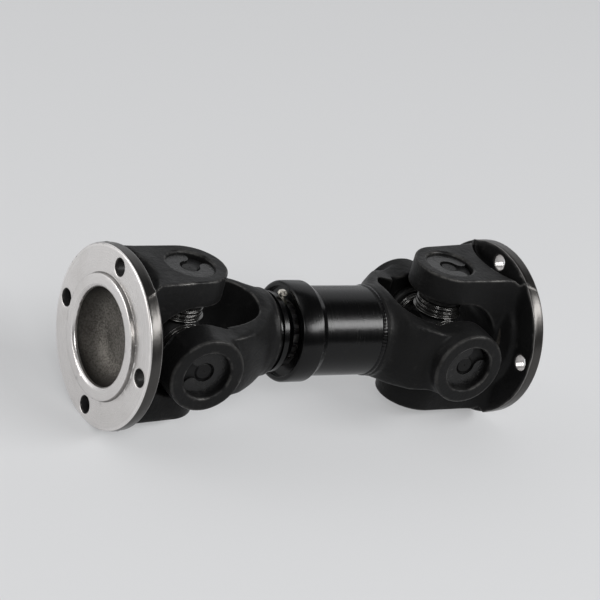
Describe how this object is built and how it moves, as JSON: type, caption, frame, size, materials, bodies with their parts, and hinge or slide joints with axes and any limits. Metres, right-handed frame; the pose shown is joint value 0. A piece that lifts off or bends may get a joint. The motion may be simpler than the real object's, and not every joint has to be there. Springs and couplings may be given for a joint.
{
  "type": "universal joint shaft",
  "caption": "Short drive shaft with a flanged universal joint at each end and a splined sliding centre section under a dust cap.",
  "frame": {"origin": "centre of flange A's mounting face, where the bolt circle meets the shaft line", "axes": "-X is the outward normal of flange A's face, +X runs towards flange B, +Z is the axis of the flange yokes' ears and bearing caps"},
  "size_m": [0.2586, 0.1116, 0.1],
  "materials": {
    "black_casting": "satin black paint over a forged skin",
    "black_gloss": "gloss black paint over turned steel",
    "painted_cap": "thin black paint over ground steel",
    "bearing_steel": "ground steel",
    "bright_sheet": "bright plated sheet",
    "nipple_steel": "zinc plated",
    "seal_rubber": "matt"
  },
  "bodies": {
    "shaft": {"centre_tube": "black_gloss", "spline_sleeve": "bearing_steel", "dust_cap": "black_gloss", "wiper_seal": "seal_rubber", "sleeve_plug": "bearing_steel", "weld_ring": "black_gloss", "tube_yoke": "black_casting", "bearing_cup_b_near": "painted_cap", "bearing_cup_b_far": "painted_cap", "circlip_b_near": "painted_cap", "circlip_b_far": "painted_cap", "needle_rollers_tube_yoke": "bearing_steel", "trunnion_seals_tube_yoke": "seal_rubber"},
    "slip": {"slip_yoke": "black_casting", "slip_nipple": "nipple_steel", "bearing_cup_a_near": "painted_cap", "bearing_cup_a_far": "painted_cap", "circlip_a_near": "painted_cap", "circlip_a_far": "painted_cap", "needle_rollers_slip_yoke": "bearing_steel", "trunnion_seals_slip_yoke": "seal_rubber"},
    "cross_a": {"cross_a": "bearing_steel", "dust_guards_a": "bright_sheet", "cross_nipple_a": "nipple_steel"},
    "cross_b": {"cross_b": "bearing_steel", "dust_guards_b": "bright_sheet", "cross_nipple_b": "nipple_steel"},
    "flange_a": {"flange_yoke_a": "black_casting", "bearing_cup_a_top": "painted_cap", "bearing_cup_a_bottom": "painted_cap", "circlip_a_top": "painted_cap", "circlip_a_bottom": "painted_cap", "needle_rollers_flange_yoke_a": "bearing_steel", "trunnion_seals_flange_yoke_a": "seal_rubber"},
    "flange_b": {"flange_yoke_b": "black_casting", "bearing_cup_b_top": "painted_cap", "bearing_cup_b_bottom": "painted_cap", "circlip_b_top": "painted_cap", "circlip_b_bottom": "painted_cap", "needle_rollers_flange_yoke_b": "bearing_steel", "trunnion_seals_flange_yoke_b": "seal_rubber"}
  },
  "joints": [
    {"name": "slip_slide", "type": "slide", "parent": "shaft", "child": "slip", "axis": [-0.9976, 0.0698, 0], "range_m": [0, 0.02]},
    {"name": "cross_a_pitch", "type": "hinge", "parent": "slip", "child": "cross_a", "pos_m": [0.0435, 0, 0], "axis": [0.0698, 0.9976, 0], "range_deg": [-15, 15]},
    {"name": "flange_a_yaw", "type": "hinge", "parent": "cross_a", "child": "flange_a", "pos_m": [0.0435, 0, 0], "axis": [0, 0, 1], "range_deg": [-19, 11]},
    {"name": "cross_b_pitch", "type": "hinge", "parent": "shaft", "child": "cross_b", "pos_m": [0.21009, -0.01165, 0], "axis": [0.0698, 0.9976, 0], "range_deg": [-15, 15]},
    {"name": "flange_b_yaw", "type": "hinge", "parent": "cross_b", "child": "flange_b", "pos_m": [0.21009, -0.01165, 0], "axis": [0, 0, 1], "range_deg": [-19, 11]}
  ]
}
